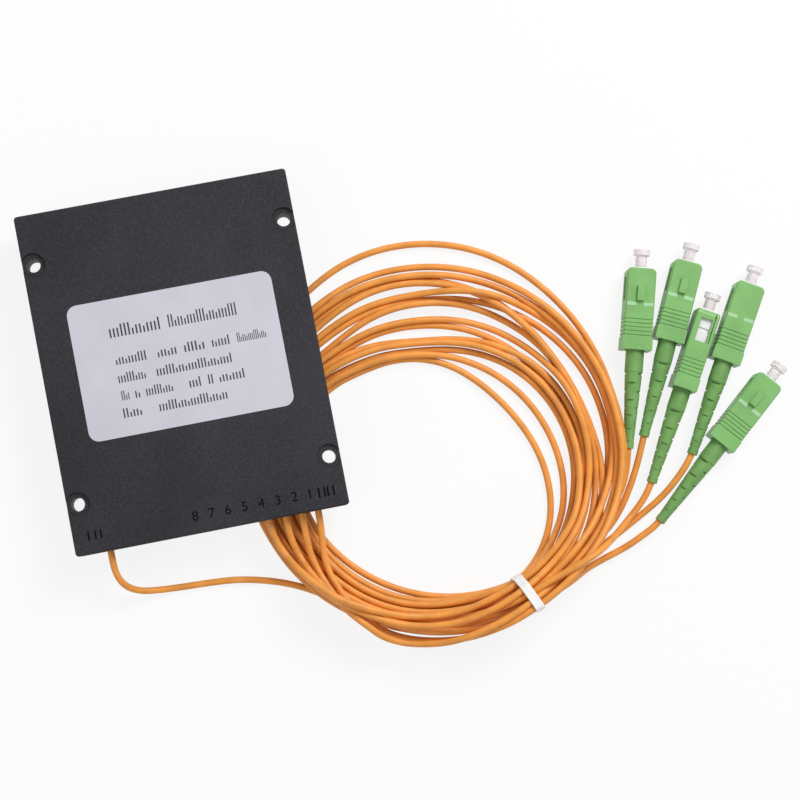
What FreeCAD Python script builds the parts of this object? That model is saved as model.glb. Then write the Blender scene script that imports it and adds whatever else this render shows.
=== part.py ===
"""Optical fibre splitter: a flat black box with one input cord and four output cords.

The box halves close round a steel splitter module. Each cord leaves through a port in the
-Y side, runs round a tied coil and ends in a green plug of the push-pull kind with an
angled ferrule and a clear dust cap.

X runs along the box's width, Y along its length and Z up. The origin is the box's centre.
"""
import FreeCAD, Part
import math
import os

import Sketcher

Vector = FreeCAD.Vector
doc = FreeCAD.newDocument("fibre_splitter")
sheet = doc.addObject("Spreadsheet::Sheet", "Dimensions")


# ---------------------------------------------------------------- named sizes

class Size:
    """A length or angle that carries its number and the sheet expression it comes from."""

    def __init__(self, value, text):
        self.value = float(value)
        self.text = text

    def __add__(self, other):
        return Size(self.value + number(other), f"({self.text} + {text(other)})")

    def __radd__(self, other):
        return Size(number(other) + self.value, f"({text(other)} + {self.text})")

    def __sub__(self, other):
        return Size(self.value - number(other), f"({self.text} - {text(other)})")

    def __rsub__(self, other):
        return Size(number(other) - self.value, f"({text(other)} - {self.text})")

    def __mul__(self, other):
        return Size(self.value * number(other), f"({self.text} * {text(other)})")

    __rmul__ = __mul__

    def __truediv__(self, other):
        return Size(self.value / number(other), f"({self.text} / {text(other)})")

    def __neg__(self):
        return Size(-self.value, f"(0 - {self.text})")


def number(size):
    """The plain number of a Size, or of a number."""
    return size.value if isinstance(size, Size) else float(size)


def text(size):
    """The sheet expression of a Size, or of a number."""
    return size.text if isinstance(size, Size) else repr(float(size))


rows = iter(range(1, 1000))


def size(alias, value):
    """Write one driving dimension into the sheet and return it as a Size."""
    row = next(rows)
    sheet.set(f"A{row}", alias)
    sheet.set(f"B{row}", repr(float(value)))
    sheet.setAlias(f"B{row}", alias)
    return Size(value, f"Dimensions.{alias}")


# The box
box_width = size("box_width", 80.0)
box_length = size("box_length", 100.0)
box_height = size("box_height", 10.0)
corner_radius = size("corner_radius", 1.0)
edge_bevel = size("edge_bevel", 0.4)
side_wall = size("side_wall", 2.0)
floor_wall = size("floor_wall", 1.5)
tongue_width = size("tongue_width", 0.9)
tongue_height = size("tongue_height", 0.8)
shell_clearance = size("shell_clearance", 0.1)
hole_spacing_x = size("hole_spacing_x", 73.6)
hole_spacing_y = size("hole_spacing_y", 70.4)
hole_radius = size("hole_radius", 2.0)
boss_radius = size("boss_radius", 3.0)
recess_radius = size("recess_radius", 3.5)
recess_depth = size("recess_depth", 0.8)
label_width = size("label_width", 60.0)
label_length = size("label_length", 40.0)
label_thickness = size("label_thickness", 0.12)
label_corner = size("label_corner", 3.0)
label_shift_y = size("label_shift_y", 1.4)

# The ports in the -Y side, and what holds the cords there
port_radius = size("port_radius", 1.2)
output_port_x = size("output_port_x", 30.8)
input_port_x = size("input_port_x", -30.4)
port_pitch = size("port_pitch", 4.85)
port_count = 8
output_count = 4
rib_thickness = size("rib_thickness", 1.5)
rib_inset = size("rib_inset", 3.5)
rib_half_width = size("rib_half_width", 34.0)
sleeve_radius = size("sleeve_radius", 1.6)
sleeve_bore = size("sleeve_bore", 1.05)
sleeve_length = size("sleeve_length", 5.9)
sleeve_clearance = size("sleeve_clearance", 0.05)

# The splitter module and its fibres
module_width = size("module_width", 4.0)
module_length = size("module_length", 40.0)
module_x = size("module_x", -4.0)
module_y = size("module_y", 10.0)
cradle_width = size("cradle_width", 7.0)
cradle_length = size("cradle_length", 3.0)
cradle_lip = size("cradle_lip", 1.0)
cradle_inset = size("cradle_inset", 8.0)
fibre_radius = size("fibre_radius", 0.45)
fibre_pitch = size("fibre_pitch", 1.0)
fibre_lead = size("fibre_lead", 1.5)

# The plug: X = 0 at the front of its outer housing, +X points forward
housing_width = size("housing_width", 8.7)
housing_height = size("housing_height", 7.1)
housing_length = size("housing_length", 24.6)
housing_front_radius = size("housing_front_radius", 1.5)
housing_bevel = size("housing_bevel", 0.35)
collar_width = size("collar_width", 9.0)
collar_height = size("collar_height", 7.4)
collar_length = size("collar_length", 3.9)
housing_travel = size("housing_travel", 2.0)
key_start = size("key_start", 5.4)
key_length = size("key_length", 4.5)
key_width = size("key_width", 2.2)
key_height = size("key_height", 0.9)
window_start = size("window_start", 2.6)
window_length = size("window_length", 7.2)
window_height = size("window_height", 3.5)
slit_start = size("slit_start", 0.8)
slit_length = size("slit_length", 8.8)
slit_width = size("slit_width", 0.35)
slit_rise = size("slit_rise", 2.35)
groove_start = size("groove_start", 15.3)
groove_pitch = size("groove_pitch", 1.2)
groove_width = size("groove_width", 0.35)
groove_depth = size("groove_depth", 0.2)
groove_count = 5
frame_width = size("frame_width", 6.8)
frame_height = size("frame_height", 4.9)
frame_ahead = size("frame_ahead", 0.4)
frame_back = size("frame_back", 15.2)
frame_neck_radius = size("frame_neck_radius", 2.8)
frame_neck_length = size("frame_neck_length", 2.4)
frame_clearance = size("frame_clearance", 0.1)
frame_bevel = size("frame_bevel", 0.3)
housing_bore_radius = size("housing_bore_radius", 3.1)
notch_start = size("notch_start", 5.5)
notch_length = size("notch_length", 1.0)
notch_depth = size("notch_depth", 0.4)
frame_bore_radius = size("frame_bore_radius", 2.1)
ledge_radius = size("ledge_radius", 1.35)
ledge_start = size("ledge_start", 7.0)
ledge_length = size("ledge_length", 1.2)
seat_gap = size("seat_gap", 0.05)
ferrule_radius = size("ferrule_radius", 1.25)
ferrule_tip = size("ferrule_tip", 2.7)
ferrule_bevel = size("ferrule_bevel", 0.2)
ferrule_angle = size("ferrule_angle", 8.0)
flange_radius = size("flange_radius", 1.95)
flange_length = size("flange_length", 2.35)
tube_radius = size("tube_radius", 1.0)
tube_length = size("tube_length", 3.9)
spring_outer_radius = size("spring_outer_radius", 1.8)
spring_wire = size("spring_wire", 0.4)
spring_turns = size("spring_turns", 3.5)
stop_start = size("stop_start", 15.0)
stop_flange_radius = size("stop_flange_radius", 2.8)
stop_flange_gap = size("stop_flange_gap", 0.1)
stop_flange_length = size("stop_flange_length", 1.2)
stop_stem_radius = size("stop_stem_radius", 1.7)
stop_stem_length = size("stop_stem_length", 5.6)
stop_bore_radius = size("stop_bore_radius", 1.3)
crimp_gap = size("crimp_gap", 0.2)
crimp_wall = size("crimp_wall", 0.3)
crimp_taper = size("crimp_taper", 0.6)
crimp_neck_length = size("crimp_neck_length", 3.3)
boot_gap = size("boot_gap", 0.5)
boot_radius = size("boot_radius", 2.75)
boot_shoulder = size("boot_shoulder", 11.7)
boot_length = size("boot_length", 34.6)
boot_taper_start = size("boot_taper_start", 2.65)
boot_taper_end = size("boot_taper_end", 1.5)
boot_collar_radius = size("boot_collar_radius", 1.55)
boot_collar_length = size("boot_collar_length", 2.0)
boot_clearance = size("boot_clearance", 0.15)
slot_width = size("slot_width", 0.55)
slot_start = size("slot_start", 0.35)
slot_pitch = size("slot_pitch", 2.8)
slot_floor_first = size("slot_floor_first", 1.9)
slot_floor_last = size("slot_floor_last", 1.3)
slot_count = 10
slot_closing = 0.945  # how much closer each slot stands to the next than the one before
cap_bore_clearance = size("cap_bore_clearance", 0.02)
cap_tip_gap = size("cap_tip_gap", 0.25)
cap_radius = size("cap_radius", 1.7)
cap_grip = size("cap_grip", 6.2)
cap_stem_ahead = size("cap_stem_ahead", 1.4)
cap_flange_radius = size("cap_flange_radius", 2.45)
cap_flange_length = size("cap_flange_length", 1.6)

# The cords, the coil and the table under them
cord_radius = size("cord_radius", 1.0)
coil_layers = size("coil_layers", 3.0)
coil_gap = size("coil_gap", 0.15)
tie_x = size("tie_x", 86.25)
tie_y = size("tie_y", -85.45)
tie_heading = size("tie_heading", 30.0)
bundle_width = size("bundle_width", 10.2)
bundle_height = size("bundle_height", 8.4)
tie_thickness = size("tie_thickness", 0.5)
tie_width = size("tie_width", 2.8)
swell_top = size("swell_top", 9.0)
swell_behind = size("swell_behind", 48.0)
swell_ahead = size("swell_ahead", 34.0)
swell_across = size("swell_across", 50.0)

# Each plug's front, its heading and its roll about its own axis, with the boot's own twist
plug_x_1 = size("plug_x_1", 139.6)
plug_y_1 = size("plug_y_1", 2.6)
plug_heading_1 = size("plug_heading_1", 74.5)
plug_x_2 = size("plug_x_2", 153.9)
plug_y_2 = size("plug_y_2", 1.9)
plug_heading_2 = size("plug_heading_2", 64.3)
plug_x_3 = size("plug_x_3", 156.7)
plug_y_3 = size("plug_y_3", -13.9)
plug_heading_3 = size("plug_heading_3", 60.2)
plug_x_4 = size("plug_x_4", 171.0)
plug_y_4 = size("plug_y_4", -8.3)
plug_heading_4 = size("plug_heading_4", 59.4)
plug_x_5 = size("plug_x_5", 171.1)
plug_y_5 = size("plug_y_5", -37.4)
plug_heading_5 = size("plug_heading_5", 40.6)

# Places that follow from the sizes above
half_height = box_height / 2
inner_height = half_height - floor_wall
cavity_half_x = box_width / 2 - side_wall
cavity_half_y = box_length / 2 - side_wall
table = -(half_height + coil_layers * cord_radius * 2 + coil_gap)
rib_y = -(cavity_half_y - rib_inset)
frame_rear = frame_back + frame_neck_length
flange_front = -(ledge_start + ledge_length + seat_gap)
flange_rear = flange_front - flange_length
stop_flange_front = -(frame_rear + stop_flange_gap)
stop_flange_rear = stop_flange_front - stop_flange_length
stop_stem_rear = stop_flange_rear - stop_stem_length
boot_front = stop_flange_rear - boot_gap
boot_rear = boot_front - boot_length
crimp_front = stop_flange_rear - crimp_gap


# ---------------------------------------------------------------- modelling helpers

def new_body(label):
    """A new body with its own label."""
    body = doc.addObject("PartDesign::Body", label)
    body.Label = label
    return body


def new_sketch(body, role, lift=0.0):
    """A sketch on one of the body's own origin planes, moved along that plane's normal."""
    sketch = body.newObject("Sketcher::SketchObject", "Sketch")
    plane = [item for item in body.Origin.OriginFeatures if item.Role == role][0]
    sketch.AttachmentSupport = [(plane, "")]
    sketch.MapMode = "FlatFace"
    sketch.setExpression("AttachmentOffset.Base.z", text(lift))
    return sketch


def bind(sketch, constraints):
    """Add dimensional constraints, each bound to its sheet expression."""
    for kind, items, value in constraints:
        index = sketch.addConstraint(Sketcher.Constraint(kind, *items, number(value)))
        name = f"size{index}"
        sketch.renameConstraint(index, name)
        sketch.setExpression(f"Constraints.{name}", text(value))


def outline(sketch, points):
    """A closed outline of straight sides through points given as pairs of sizes."""
    first = sketch.GeometryCount
    spots = [Vector(number(x), number(y), 0) for x, y in points]
    ends = spots[1:] + spots[:1]
    sketch.addGeometry([Part.LineSegment(a, b) for a, b in zip(spots, ends)], False)
    last = first + len(points) - 1
    for index in range(first, last + 1):
        following = first if index == last else index + 1
        sketch.addConstraint(Sketcher.Constraint("Coincident", index, 2, following, 1))
    for index, (x, y) in enumerate(points, first):
        bind(sketch, [("DistanceX", (-1, 1, index, 1), x), ("DistanceY", (-1, 1, index, 1), y)])


def rectangle(sketch, x_low, x_high, y_low, y_high):
    """An upright rectangle between two pairs of sizes."""
    outline(sketch, [(x_low, y_low), (x_high, y_low), (x_high, y_high), (x_low, y_high)])


def centred_rectangle(sketch, width, height):
    """A rectangle of the given size round the sketch's origin."""
    rectangle(sketch, -width / 2, width / 2, -height / 2, height / 2)


def circle(sketch, x, y, radius):
    """A circle whose centre and radius are sizes."""
    centre = Vector(number(x), number(y), 0)
    index = sketch.addGeometry(Part.Circle(centre, Vector(0, 0, 1), number(radius)), False)
    bind(sketch, [("DistanceX", (-1, 1, index, 3), x), ("DistanceY", (-1, 1, index, 3), y),
                  ("Radius", (index,), radius)])


def pad(body, sketch, length, backwards=False):
    """Add material from the sketch along its normal, or against it."""
    feature = body.newObject("PartDesign::Pad", "Pad")
    feature.Profile = sketch
    feature.Reversed = backwards
    feature.setExpression("Length", text(length))
    doc.recompute()
    return feature


def pocket(body, sketch, length=None, forwards=False):
    """Cut against the sketch's normal, or along it, or both ways through all."""
    before = body.Shape.Volume
    feature = body.newObject("PartDesign::Pocket", "Pocket")
    feature.Profile = sketch
    feature.Reversed = forwards
    if length is None:
        feature.Type = "ThroughAll"
        feature.SideType = "Symmetric"
    else:
        feature.setExpression("Length", text(length))
    doc.recompute()
    if not body.Shape.Volume < before:
        raise RuntimeError(f"a pocket in {body.Label} cuts nothing")
    return feature


def revolve(body, points, role="XY_Plane"):
    """Turn a half outline of (place along X, distance from X) pairs about the X axis."""
    sketch = new_sketch(body, role)
    outline(sketch, points)
    feature = body.newObject("PartDesign::Revolution", "Revolution")
    feature.Profile = sketch
    feature.ReferenceAxis = (sketch, ["H_Axis"])
    feature.Angle = 360
    doc.recompute()
    return feature


def dress(body, kind, amount, chooses):
    """Fillet or chamfer the edges of the body's last feature that a test chooses."""
    base = body.Tip
    names = [f"Edge{i}" for i, edge in enumerate(base.Shape.Edges, 1) if chooses(edge)]
    feature = body.newObject(f"PartDesign::{kind}", kind)
    feature.Base = (base, names)
    feature.setExpression("Radius" if kind == "Fillet" else "Size", text(amount))
    doc.recompute()
    return feature


def runs_along(edge, axis):
    """True where a straight edge runs along an axis, given as 0, 1 or 2."""
    if not isinstance(edge.Curve, (Part.Line, Part.LineSegment)):
        return False
    direction = edge.tangentAt(edge.FirstParameter)
    return abs(abs(direction[axis]) - 1) < 1e-6


def lies_at(edge, axis, place):
    """True where the whole edge lies at one place along an axis."""
    box = edge.BoundBox
    low = (box.XMin, box.YMin, box.ZMin)[axis]
    high = (box.XMax, box.YMax, box.ZMax)[axis]
    return abs(low - number(place)) < 1e-3 and abs(high - number(place)) < 1e-3


# ---------------------------------------------------------------- the box

def corner_places():
    """The four hole centres as pairs of sizes."""
    half_x = hole_spacing_x / 2
    half_y = hole_spacing_y / 2
    return [(half_x, half_y), (-half_x, half_y), (-half_x, -half_y), (half_x, -half_y)]


def output_x(index):
    """Port places are counted from the +X end."""
    return output_port_x - port_pitch * index


def port_places():
    """The places along X of every port in the -Y side."""
    return [output_x(index) for index in range(port_count)] + [input_port_x]


def used_ports():
    """The places along X of the ports that hold a cord: the outputs, then the input."""
    return [output_x(index) for index in range(output_count)] + [input_port_x]


def frame_of_strips(sketch, low, high, gap):
    """Four straight strips round the seam, which stop short of the corner bosses.

    Each strip spans from `low` to `high` outside the cavity's wall and grows by `gap`
    at its ends.
    """
    stop_y = hole_spacing_y / 2 - recess_radius + gap
    stop_x = hole_spacing_x / 2 - recess_radius + gap
    inner_x = cavity_half_x + low
    outer_x = cavity_half_x + high
    inner_y = cavity_half_y + low
    outer_y = cavity_half_y + high
    rectangle(sketch, inner_x, outer_x, -stop_y, stop_y)
    rectangle(sketch, -outer_x, -inner_x, -stop_y, stop_y)
    rectangle(sketch, -stop_x, stop_x, inner_y, outer_y)
    rectangle(sketch, -stop_x, stop_x, -outer_y, -inner_y)


def half_shell(label, sign):
    """One half of the box, open at the seam: sign -1 is the base and 1 is the cover."""
    body = new_body(label)
    upwards = sign > 0
    sketch = new_sketch(body, "XY_Plane")
    centred_rectangle(sketch, box_width, box_length)
    pad(body, sketch, half_height, backwards=not upwards)
    dress(body, "Fillet", corner_radius, lambda edge: runs_along(edge, 2))
    dress(body, "Chamfer", edge_bevel, lambda edge: lies_at(edge, 2, half_height * sign))
    sketch = new_sketch(body, "XY_Plane")
    centred_rectangle(sketch, cavity_half_x * 2, cavity_half_y * 2)
    pocket(body, sketch, inner_height, forwards=upwards)
    return body


def add_bosses_and_rib(body, sign):
    """The corner bosses and the rib that holds the cords' sleeves, up to the seam."""
    sketch = new_sketch(body, "XY_Plane")
    for x, y in corner_places():
        circle(sketch, x, y, boss_radius)
    pad(body, sketch, half_height - edge_bevel * 2, backwards=sign < 0)
    sketch = new_sketch(body, "XY_Plane")
    rectangle(sketch, -rib_half_width, rib_half_width, rib_y, rib_y + rib_thickness)
    pad(body, sketch, half_height - edge_bevel * 2, backwards=sign < 0)


def cut_ports(body):
    """The ports through the -Y side and the sleeve notches in the rib."""
    sketch = new_sketch(body, "XZ_Plane", cavity_half_y - edge_bevel)
    for x in port_places():
        circle(sketch, x, 0.0, port_radius)
    pocket(body, sketch, side_wall * 2, forwards=True)
    sketch = new_sketch(body, "XZ_Plane", -rib_y + edge_bevel)
    for x in used_ports():
        circle(sketch, x, 0.0, sleeve_radius + sleeve_clearance)
    pocket(body, sketch, rib_thickness + edge_bevel * 2)


def cut_holes(body, sign):
    """The four mounting holes and the round recess at the mouth of each."""
    sketch = new_sketch(body, "XY_Plane")
    for x, y in corner_places():
        circle(sketch, x, y, hole_radius)
    pocket(body, sketch)
    sketch = new_sketch(body, "XY_Plane", half_height * sign)
    for x, y in corner_places():
        circle(sketch, x, y, recess_radius)
    pocket(body, sketch, recess_depth, forwards=sign < 0)


def cradle_places():
    """The two places along Y at which the module is held."""
    reach = module_length / 2 - cradle_inset
    return [module_y - reach, module_y + reach]


def make_base():
    """The lower half, with a tongue at the seam and two cradles for the module."""
    body = half_shell("base_shell", -1)
    add_bosses_and_rib(body, -1)
    sketch = new_sketch(body, "XY_Plane", -inner_height - floor_wall / 2)
    for y in cradle_places():
        rectangle(sketch, module_x - cradle_width / 2, module_x + cradle_width / 2,
                  y - cradle_length / 2, y + cradle_length / 2)
    pad(body, sketch, inner_height + floor_wall / 2 - module_width / 2 + cradle_lip)
    sketch = new_sketch(body, "XY_Plane", -module_width / 2)
    slot = module_width / 2 + shell_clearance
    for y in cradle_places():
        rectangle(sketch, module_x - slot, module_x + slot, y - cradle_length, y + cradle_length)
    pocket(body, sketch, cradle_lip, forwards=True)
    sketch = new_sketch(body, "XY_Plane", -edge_bevel)
    frame_of_strips(sketch, Size(0, "0"), tongue_width, Size(0, "0"))
    pad(body, sketch, tongue_height + edge_bevel)
    cut_ports(body)
    cut_holes(body, -1)
    return body


def make_cover():
    """The upper half, with the rebate for the tongue and two ribs over the module."""
    body = half_shell("top_cover", 1)
    add_bosses_and_rib(body, 1)
    sketch = new_sketch(body, "XY_Plane", module_width / 2 + sleeve_clearance)
    for y in cradle_places():
        rectangle(sketch, module_x - cradle_width / 2, module_x + cradle_width / 2,
                  y - cradle_length / 2, y + cradle_length / 2)
    pad(body, sketch, half_height - module_width / 2 - sleeve_clearance - floor_wall / 2)
    sketch = new_sketch(body, "XY_Plane")
    frame_of_strips(sketch, -side_wall / 2, tongue_width + shell_clearance, shell_clearance)
    pocket(body, sketch, tongue_height + shell_clearance, forwards=True)
    cut_ports(body)
    cut_holes(body, 1)
    return body


def make_label():
    """The printed sheet on top of the cover, with round corners."""
    body = new_body("label")
    sketch = new_sketch(body, "XY_Plane", half_height)
    rectangle(sketch, -label_width / 2, label_width / 2,
              label_shift_y - label_length / 2, label_shift_y + label_length / 2)
    pad(body, sketch, label_thickness)
    dress(body, "Fillet", label_corner, lambda edge: runs_along(edge, 2))
    return body


def make_module():
    """The square steel tube that holds the splitter chip and its fibre arrays."""
    body = new_body("splitter_module")
    sketch = new_sketch(body, "XZ_Plane", -module_y - module_length / 2)
    half = module_width / 2
    rectangle(sketch, module_x - half, module_x + half, -half, half)
    pad(body, sketch, module_length)
    dress(body, "Chamfer", edge_bevel, lambda edge: runs_along(edge, 1))
    return body


def make_sleeves():
    """The sleeves crimped on the cords, caught between the -Y wall and the rib."""
    body = new_body("anchor_sleeves")
    body.AllowCompound = True
    sketch = new_sketch(body, "XZ_Plane", cavity_half_y - shell_clearance)
    for x in used_ports():
        circle(sketch, x, 0.0, sleeve_radius)
        circle(sketch, x, 0.0, sleeve_bore)
    pad(body, sketch, sleeve_length, backwards=True)
    return body


# ---------------------------------------------------------------- the plugs

def make_outer_housing(label):
    """The green push-pull housing, with its key, windows, slits and grip grooves."""
    body = new_body(label)
    sketch = new_sketch(body, "YZ_Plane")
    centred_rectangle(sketch, housing_width, housing_height)
    pad(body, sketch, housing_length, backwards=True)
    dress(body, "Fillet", housing_front_radius,
          lambda edge: runs_along(edge, 2) and lies_at(edge, 0, 0))
    dress(body, "Chamfer", housing_bevel,
          lambda edge: runs_along(edge, 0))
    sketch = new_sketch(body, "YZ_Plane", -housing_length + collar_length)
    centred_rectangle(sketch, collar_width, collar_height)
    pad(body, sketch, collar_length, backwards=True)
    sketch = new_sketch(body, "XY_Plane", housing_height / 2 - housing_bevel)
    rectangle(sketch, -key_start - key_length, -key_start, -key_width / 2, key_width / 2)
    pad(body, sketch, key_height + housing_bevel)
    sketch = new_sketch(body, "YZ_Plane")
    centred_rectangle(sketch, frame_width + frame_clearance * 2, frame_height + frame_clearance * 2)
    pocket(body, sketch, frame_back + frame_clearance * 2)
    sketch = new_sketch(body, "YZ_Plane", -housing_length)
    circle(sketch, 0.0, 0.0, housing_bore_radius)
    bore_front = frame_back - housing_travel - frame_clearance * 2
    pocket(body, sketch, housing_length - bore_front, forwards=True)
    sketch = new_sketch(body, "XZ_Plane")
    rectangle(sketch, -window_start - window_length, -window_start,
              -window_height / 2, window_height / 2)
    rectangle(sketch, -slit_start - slit_length, -slit_start,
              slit_rise - slit_width / 2, slit_rise + slit_width / 2)
    pocket(body, sketch)
    cut_grip(body)
    return body


def cut_grip(body):
    """One shallow groove round the housing, repeated towards its rear."""
    sketch = new_sketch(body, "YZ_Plane", -groove_start)
    centred_rectangle(sketch, collar_width + groove_depth, collar_height + groove_depth)
    centred_rectangle(sketch, housing_width - groove_depth * 2, housing_height - groove_depth * 2)
    groove = pocket(body, sketch, groove_width)
    pattern = body.newObject("PartDesign::LinearPattern", "LinearPattern")
    pattern.Originals = [groove]
    pattern.Direction = (sketch, ["N_Axis"])
    pattern.Reversed = True
    pattern.setExpression("Length", text(groove_pitch * (groove_count - 1)))
    pattern.Occurrences = groove_count
    body.Tip = pattern
    doc.recompute()


def make_plug_frame(label):
    """The white inner frame that carries the ferrule and latches in an adapter."""
    body = new_body(label)
    sketch = new_sketch(body, "YZ_Plane", frame_ahead)
    centred_rectangle(sketch, frame_width, frame_height)
    pad(body, sketch, frame_back + frame_ahead, backwards=True)
    dress(body, "Chamfer", frame_bevel, lambda edge: lies_at(edge, 0, frame_ahead))
    sketch = new_sketch(body, "YZ_Plane", -frame_back)
    circle(sketch, 0.0, 0.0, frame_neck_radius)
    pad(body, sketch, frame_neck_length, backwards=True)
    sketch = new_sketch(body, "YZ_Plane", frame_ahead)
    circle(sketch, 0.0, 0.0, frame_bore_radius)
    pocket(body, sketch, frame_ahead + ledge_start)
    sketch = new_sketch(body, "YZ_Plane", -frame_rear)
    circle(sketch, 0.0, 0.0, frame_bore_radius)
    pocket(body, sketch, frame_rear - ledge_start - ledge_length, forwards=True)
    sketch = new_sketch(body, "YZ_Plane", -ledge_start + ledge_length)
    circle(sketch, 0.0, 0.0, ledge_radius)
    pocket(body, sketch, ledge_length * 3)
    sketch = new_sketch(body, "XY_Plane")
    side = frame_width / 2
    for low, high in ((side - notch_depth, side + notch_depth),
                      (-side - notch_depth, -side + notch_depth)):
        rectangle(sketch, -notch_start - notch_length, -notch_start, low, high)
    pocket(body, sketch)
    return body


def make_ferrule(label):
    """The ceramic ferrule in its metal flange, with the face polished at an angle."""
    body = new_body(label)
    rear = flange_rear - tube_length
    revolve(body, [(rear, 0.0), (rear, tube_radius), (flange_rear, tube_radius),
                   (flange_rear, flange_radius), (flange_front, flange_radius),
                   (flange_front, ferrule_radius), (ferrule_tip - ferrule_bevel, ferrule_radius),
                   (ferrule_tip, ferrule_radius - ferrule_bevel), (ferrule_tip, 0.0)])
    lean = math.tan(math.radians(number(ferrule_angle)))
    middle = ferrule_tip - ferrule_radius * lean
    reach = ferrule_radius + ferrule_bevel
    sketch = new_sketch(body, "XZ_Plane")
    outline(sketch, [(middle - reach * lean, -reach), (ferrule_tip + 1.0, -reach),
                     (ferrule_tip + 1.0, reach), (middle + reach * lean, reach)])
    pocket(body, sketch)
    return body


def make_spring(label):
    """The spring behind the flange, wound from wire drawn with a square section."""
    body = new_body(label)
    front = flange_rear - seat_gap
    rear = -stop_start + seat_gap
    centre = spring_outer_radius - spring_wire / 2
    half = spring_wire / 2
    sketch = new_sketch(body, "XY_Plane")
    rectangle(sketch, rear, rear + spring_wire, centre - half, centre + half)
    feature = body.newObject("PartDesign::AdditiveHelix", "AdditiveHelix")
    feature.Profile = sketch
    feature.ReferenceAxis = (sketch, ["H_Axis"])
    feature.Mode = "height-turns-angle"
    feature.setExpression("Height", text(front - rear - spring_wire))
    feature.setExpression("Turns", text(spring_turns))
    feature.Angle = 0
    doc.recompute()
    return body


def make_stop_ring(label):
    """The metal ring behind the spring, whose stem takes the crimp."""
    body = new_body(label)
    nose = frame_bore_radius - seat_gap
    revolve(body, [(-stop_start, stop_bore_radius), (-stop_start, nose),
                   (stop_flange_front, nose), (stop_flange_front, stop_flange_radius),
                   (stop_flange_rear, stop_flange_radius), (stop_flange_rear, stop_stem_radius),
                   (stop_stem_rear, stop_stem_radius), (stop_stem_rear, stop_bore_radius)])
    return body


def make_crimp_sleeve(label):
    """The crimp sleeve: wide over the stop ring's stem, narrow over the cord."""
    body = new_body(label)
    wide = stop_stem_radius + seat_gap
    narrow = cord_radius + seat_gap
    rear = stop_stem_rear - seat_gap
    neck = rear - crimp_taper
    end = neck - crimp_neck_length
    revolve(body, [(crimp_front, wide), (crimp_front, wide + crimp_wall),
                   (rear, wide + crimp_wall), (neck, narrow + crimp_wall),
                   (end, narrow + crimp_wall), (end, narrow), (neck, narrow), (rear, wide)])
    return body


def make_boot(label):
    """The bend-relief boot, slit from two sides in turn along its taper."""
    body = new_body(label)
    wide_bore = stop_stem_radius + seat_gap + crimp_wall + frame_clearance
    narrow_bore = cord_radius + boot_clearance
    inner = stop_stem_rear - seat_gap - crimp_taper - crimp_neck_length - crimp_gap
    shoulder = boot_front - boot_shoulder
    collar = boot_rear + boot_collar_length
    revolve(body, [(boot_front, wide_bore), (boot_front, boot_radius), (shoulder, boot_radius),
                   (shoulder, boot_taper_start), (collar, boot_taper_end),
                   (collar, boot_collar_radius), (boot_rear, boot_collar_radius),
                   (boot_rear, narrow_bore), (inner, narrow_bore), (inner, wide_bore)])
    for role, first in (("XY_Plane", 0), ("XZ_Plane", 1)):
        sketch = new_sketch(body, role)
        for index in range(first, slot_count, 2):
            pitches = (1 - slot_closing ** index) / (1 - slot_closing)
            front = shoulder - slot_start - slot_pitch * pitches
            share = index / (slot_count - 1)
            floor = slot_floor_first * (1 - share) + slot_floor_last * share
            for low, high in ((floor, boot_radius * 2), (-boot_radius * 2, -floor)):
                rectangle(sketch, front - slot_width, front, low, high)
        pocket(body, sketch)
    return body


def make_dust_cap(label):
    """The clear cap pushed on the ferrule, with a round grip at its front."""
    body = new_body(label)
    bore = ferrule_radius + cap_bore_clearance
    end = ferrule_tip + cap_tip_gap
    grip = ferrule_tip + cap_stem_ahead
    front = grip + cap_flange_length
    rear = ferrule_tip - cap_grip
    revolve(body, [(rear, bore), (rear, cap_radius), (grip, cap_radius),
                   (grip, cap_flange_radius), (front, cap_flange_radius), (front, 0.0),
                   (end, 0.0), (end, bore)])
    return body


# Each plug's place and heading, its roll about its own axis and its boot's own twist
UPRIGHT, ON_ITS_SIDE, KEY_DOWN = 0, 90, 180
plugs = [(plug_x_1, plug_y_1, plug_heading_1, UPRIGHT, -25),
         (plug_x_2, plug_y_2, plug_heading_2, UPRIGHT, 90),
         (plug_x_3, plug_y_3, plug_heading_3, ON_ITS_SIDE, -12),
         (plug_x_4, plug_y_4, plug_heading_4, KEY_DOWN, 75),
         (plug_x_5, plug_y_5, plug_heading_5, UPRIGHT, 60)]
rest_heights = {UPRIGHT: collar_height / 2, ON_ITS_SIDE: collar_width / 2,
                KEY_DOWN: housing_height / 2 + key_height}


def plug_placement(plug, twist=0):
    """Where a plug lies on the table; the twist turns one of its pieces about its axis."""
    x, y, heading, roll, _ = plug
    base = Vector(number(x), number(y), number(table + rest_heights[roll]))
    turn = FreeCAD.Rotation(Vector(0, 0, 1), number(heading))
    own = FreeCAD.Rotation(Vector(1, 0, 0), roll + twist)
    return FreeCAD.Placement(base, turn * own)


def place(body, plug, twist=0):
    """Set the body's turn and bind its place to the sheet."""
    x, y, _, roll, _ = plug
    body.Placement = plug_placement(plug, twist)
    body.setExpression("Placement.Base.x", text(x))
    body.setExpression("Placement.Base.y", text(y))
    body.setExpression("Placement.Base.z", text(table + rest_heights[roll]))


def make_plug(index, plug):
    """The eight pieces of one plug, in place."""
    makers = {"outer_housing": make_outer_housing, "plug_frame": make_plug_frame,
              "ferrule": make_ferrule, "spring": make_spring, "stop_ring": make_stop_ring,
              "crimp_sleeve": make_crimp_sleeve, "dust_cap": make_dust_cap}
    bodies = []
    for name, maker in makers.items():
        body = maker(f"{name}_{index}")
        place(body, plug)
        bodies.append(body)
    boot = make_boot(f"boot_{index}")
    place(boot, plug, plug[4])
    return bodies + [boot]


# ---------------------------------------------------------------- cords and fibres

RUN_SHARE = 0.45  # the share of the shorter run that an arc takes


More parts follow.
